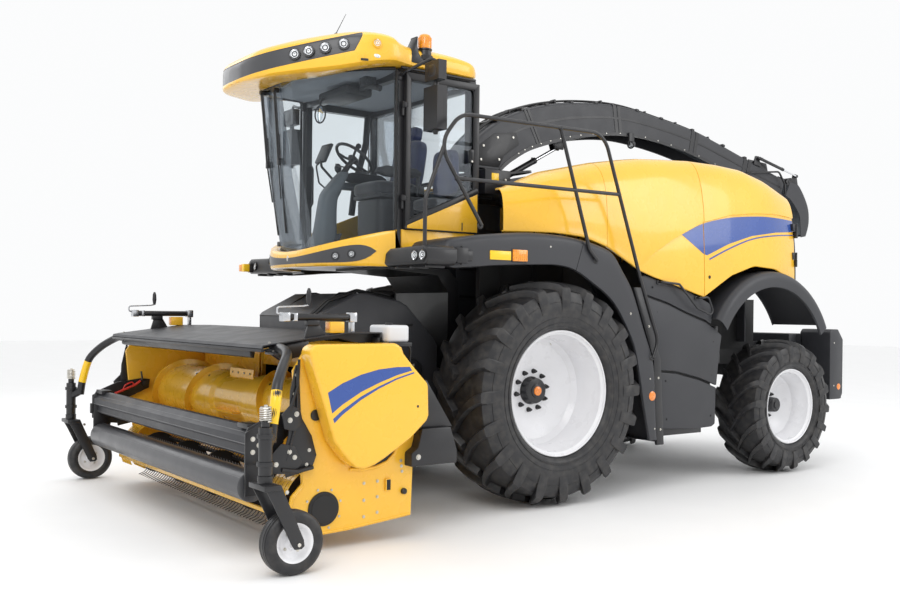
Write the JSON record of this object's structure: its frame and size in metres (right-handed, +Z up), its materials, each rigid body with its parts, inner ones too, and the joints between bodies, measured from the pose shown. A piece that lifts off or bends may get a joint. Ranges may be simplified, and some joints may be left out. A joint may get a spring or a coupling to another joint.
{
  "type": "self-propelled forage harvester with a pick-up header",
  "caption": "Self-propelled forage harvester: high glass cab, long swivelling discharge spout, large drive wheels, steered rear wheels and a front crop pick-up header.",
  "frame": {"origin": "bottom centre of the machine's box, on the ground plane under the middle of its length", "axes": "+Z up, -Y the direction of travel, +X the machine's left side"},
  "size_m": [4.68, 8.82, 4.263],
  "materials": {
    "paint_yellow": "gloss",
    "panel_dark": "satin",
    "frame_black": "satin",
    "steel_bright": "polished",
    "rim_white": "satin",
    "tyre_rubber": "matte",
    "clear_glass": "polished",
    "seat_cloth": "matte"
  },
  "bodies": {
    "machine": {"chassis_frame": "frame_black", "engine_block": "frame_black", "front_axle": "frame_black", "rear_axle": "frame_black", "cab_frame": "frame_black", "windscreen": "clear_glass", "cab_glass_right": "clear_glass", "cab_glass_rear": "clear_glass", "cab_nose": "paint_yellow", "cab_roof": "paint_yellow", "driver_seat": "seat_cloth", "steering_console": "panel_dark", "side_panel_left": "paint_yellow", "side_panel_right": "paint_yellow", "rear_hood": "panel_dark", "front_fender_left": "panel_dark", "front_fender_right": "panel_dark", "rear_fender_left": "panel_dark", "rear_fender_right": "panel_dark", "rear_bumper": "panel_dark", "handrail_left": "frame_black", "ladder_left": "frame_black", "spout_base": "panel_dark"},
    "front_wheel_left": {"front_tyre_left": "tyre_rubber", "front_rim_left": "rim_white"},
    "front_wheel_right": {"front_tyre_right": "tyre_rubber", "front_rim_right": "rim_white"},
    "steering_knuckle_left": {"steering_knuckle_left": "frame_black"},
    "steering_knuckle_right": {"steering_knuckle_right": "frame_black"},
    "rear_wheel_left": {"rear_tyre_left": "tyre_rubber", "rear_rim_left": "rim_white"},
    "rear_wheel_right": {"rear_tyre_right": "tyre_rubber", "rear_rim_right": "rim_white"},
    "steering_rod": {"steering_rod": "steel_bright"},
    "cab_door": {"cab_door": "paint_yellow", "cab_door_glass": "clear_glass"},
    "side_door_left": {"side_door_left": "paint_yellow"},
    "side_door_right": {"side_door_right": "paint_yellow"},
    "spout_turntable": {"spout_turntable": "frame_black"},
    "spout": {"spout_arch": "panel_dark"},
    "spout_ram_barrel": {"spout_ram_barrel": "frame_black"},
    "spout_ram_rod": {"spout_ram_rod": "steel_bright"},
    "spout_deflector": {"spout_deflector": "panel_dark"},
    "deflector_ram_barrel": {"deflector_ram_barrel": "frame_black"},
    "deflector_ram_rod": {"deflector_ram_rod": "steel_bright"},
    "header": {"feeder_house": "panel_dark", "header_frame": "paint_yellow", "header_cover_left": "paint_yellow", "header_top_frame": "frame_black"},
    "header_ram_barrels": {"header_ram_barrels": "frame_black"},
    "header_ram_rods": {"header_ram_rods": "steel_bright"},
    "auger": {"auger": "paint_yellow"},
    "pickup_reel": {"pickup_reel": "frame_black"},
    "wind_guard": {"wind_guard": "frame_black"},
    "crop_roller": {"crop_roller": "panel_dark"},
    "castor_left": {"castor_fork_left": "frame_black"},
    "castor_right": {"castor_fork_right": "frame_black"},
    "gauge_wheel_left": {"gauge_wheel_left": "tyre_rubber"},
    "gauge_wheel_right": {"gauge_wheel_right": "tyre_rubber"}
  },
  "joints": [
    {"name": "front_wheel_left_spin", "type": "hinge", "parent": "machine", "child": "front_wheel_left", "pos_m": [1.19, -1.15, 1.005], "axis": [1, 0, 0], "continuous": true},
    {"name": "steering_left", "type": "hinge", "parent": "machine", "child": "steering_knuckle_left", "pos_m": [0.86, 2.27, 0.725], "axis": [0, 0, 1], "range_deg": [-35, 35]},
    {"name": "rear_wheel_left_spin", "type": "hinge", "parent": "steering_knuckle_left", "child": "rear_wheel_left", "pos_m": [1.21, 2.27, 0.725], "axis": [1, 0, 0], "continuous": true},
    {"name": "front_wheel_right_spin", "type": "hinge", "parent": "machine", "child": "front_wheel_right", "pos_m": [-1.19, -1.15, 1.005], "axis": [1, 0, 0], "continuous": true},
    {"name": "steering_right", "type": "hinge", "parent": "machine", "child": "steering_knuckle_right", "pos_m": [-0.86, 2.27, 0.725], "axis": [0, 0, 1], "range_deg": [-35, 35]},
    {"name": "rear_wheel_right_spin", "type": "hinge", "parent": "steering_knuckle_right", "child": "rear_wheel_right", "pos_m": [-1.21, 2.27, 0.725], "axis": [1, 0, 0], "continuous": true},
    {"name": "steering_rod_slide", "type": "slide", "parent": "machine", "child": "steering_rod", "axis": [1, 0, 0], "range_m": [-0.1527, 0.1527]},
    {"name": "cab_door_hinge", "type": "hinge", "parent": "machine", "child": "cab_door", "pos_m": [0.9, -2.465, 3], "axis": [0, 0, -1], "range_deg": [0, 38]},
    {"name": "side_door_left_hinge", "type": "hinge", "parent": "machine", "child": "side_door_left", "pos_m": [1.318, 2.512, 2.6], "axis": [0, 0, 1], "range_deg": [0, 75]},
    {"name": "side_door_right_hinge", "type": "hinge", "parent": "machine", "child": "side_door_right", "pos_m": [-1.318, 2.512, 2.6], "axis": [0, 0, -1], "range_deg": [0, 75]},
    {"name": "spout_turn", "type": "hinge", "parent": "machine", "child": "spout_turntable", "pos_m": [0, -1.03, 2.96], "axis": [0, 0, 1], "range_deg": [-100, 100]},
    {"name": "spout_lift", "type": "hinge", "parent": "spout_turntable", "child": "spout", "pos_m": [0, -1.23, 3.25], "axis": [1, 0, 0], "range_deg": [0, 30]},
    {"name": "spout_ram_swing", "type": "hinge", "parent": "spout_turntable", "child": "spout_ram_barrel", "pos_m": [0, -0.69, 3.08], "axis": [1, 0, 0], "range_deg": [0, 37.2]},
    {"name": "spout_ram_stroke", "type": "slide", "parent": "spout_ram_barrel", "child": "spout_ram_rod", "axis": [0, 0.883, 0.4694], "range_m": [0, 0.2643]},
    {"name": "deflector_tilt", "type": "hinge", "parent": "spout", "child": "spout_deflector", "pos_m": [0, 3.95, 3.44], "axis": [1, 0, 0], "range_deg": [0, 50]},
    {"name": "deflector_ram_swing", "type": "hinge", "parent": "spout", "child": "deflector_ram_barrel", "pos_m": [0.215, 3.3, 3.68], "axis": [1, 0, 0], "range_deg": [0, 3.48]},
    {"name": "deflector_ram_stroke", "type": "slide", "parent": "deflector_ram_barrel", "child": "deflector_ram_rod", "axis": [0, 0.9791, -0.2034], "range_m": [-0.1137, 0]},
    {"name": "header_lift", "type": "hinge", "parent": "machine", "child": "header", "pos_m": [0, -1.75, 1.05], "axis": [-1, 0, 0], "range_deg": [0, 12]},
    {"name": "header_ram_swing", "type": "hinge", "parent": "machine", "child": "header_ram_barrels", "pos_m": [0, -1.27, 0.7], "axis": [-1, 0, 0], "range_deg": [0, 8.12]},
    {"name": "header_ram_stroke", "type": "slide", "parent": "header_ram_barrels", "child": "header_ram_rods", "axis": [0, -0.9829, -0.1843], "range_m": [0, 0.0843]},
    {"name": "auger_spin", "type": "hinge", "parent": "header", "child": "auger", "pos_m": [0, -3.44, 0.93], "axis": [1, 0, 0], "continuous": true},
    {"name": "pickup_reel_spin", "type": "hinge", "parent": "header", "child": "pickup_reel", "pos_m": [0, -3.71, 0.32], "axis": [1, 0, 0], "continuous": true},
    {"name": "wind_guard_lift", "type": "hinge", "parent": "header", "child": "wind_guard", "pos_m": [0, -3.77, 0.98], "axis": [-1, 0, 0], "range_deg": [0, 35]},
    {"name": "crop_roller_spin", "type": "hinge", "parent": "wind_guard", "child": "crop_roller", "pos_m": [0, -4.2, 0.5], "axis": [1, 0, 0], "continuous": true},
    {"name": "castor_left_swivel", "type": "hinge", "parent": "header", "child": "castor_left", "pos_m": [2.22, -4.35, 0.66], "axis": [0, 0, 1], "range_deg": [-30, 30]},
    {"name": "gauge_wheel_left_spin", "type": "hinge", "parent": "castor_left", "child": "gauge_wheel_left", "pos_m": [2.22, -4.16, 0.212], "axis": [1, 0, 0], "continuous": true},
    {"name": "castor_right_swivel", "type": "hinge", "parent": "header", "child": "castor_right", "pos_m": [-2.22, -4.35, 0.66], "axis": [0, 0, 1], "range_deg": [-30, 30]},
    {"name": "gauge_wheel_right_spin", "type": "hinge", "parent": "castor_right", "child": "gauge_wheel_right", "pos_m": [-2.22, -4.16, 0.212], "axis": [1, 0, 0], "continuous": true}
  ],
  "couplings": [
    {"joint": "steering_right", "follows": "steering_left", "ratio": 1},
    {"joint": "steering_rod_slide", "follows": "steering_left", "m_per_rad": -0.25},
    {"joint": "spout_ram_swing", "follows": "spout_lift", "ratio": 1.2387},
    {"joint": "spout_ram_stroke", "follows": "spout_lift", "m_per_rad": 0.50425},
    {"joint": "deflector_ram_swing", "follows": "deflector_tilt", "ratio": 0.06959},
    {"joint": "deflector_ram_stroke", "follows": "deflector_tilt", "m_per_rad": -0.1302},
    {"joint": "header_ram_swing", "follows": "header_lift", "ratio": 0.67561},
    {"joint": "header_ram_stroke", "follows": "header_lift", "m_per_rad": 0.40209}
  ]
}
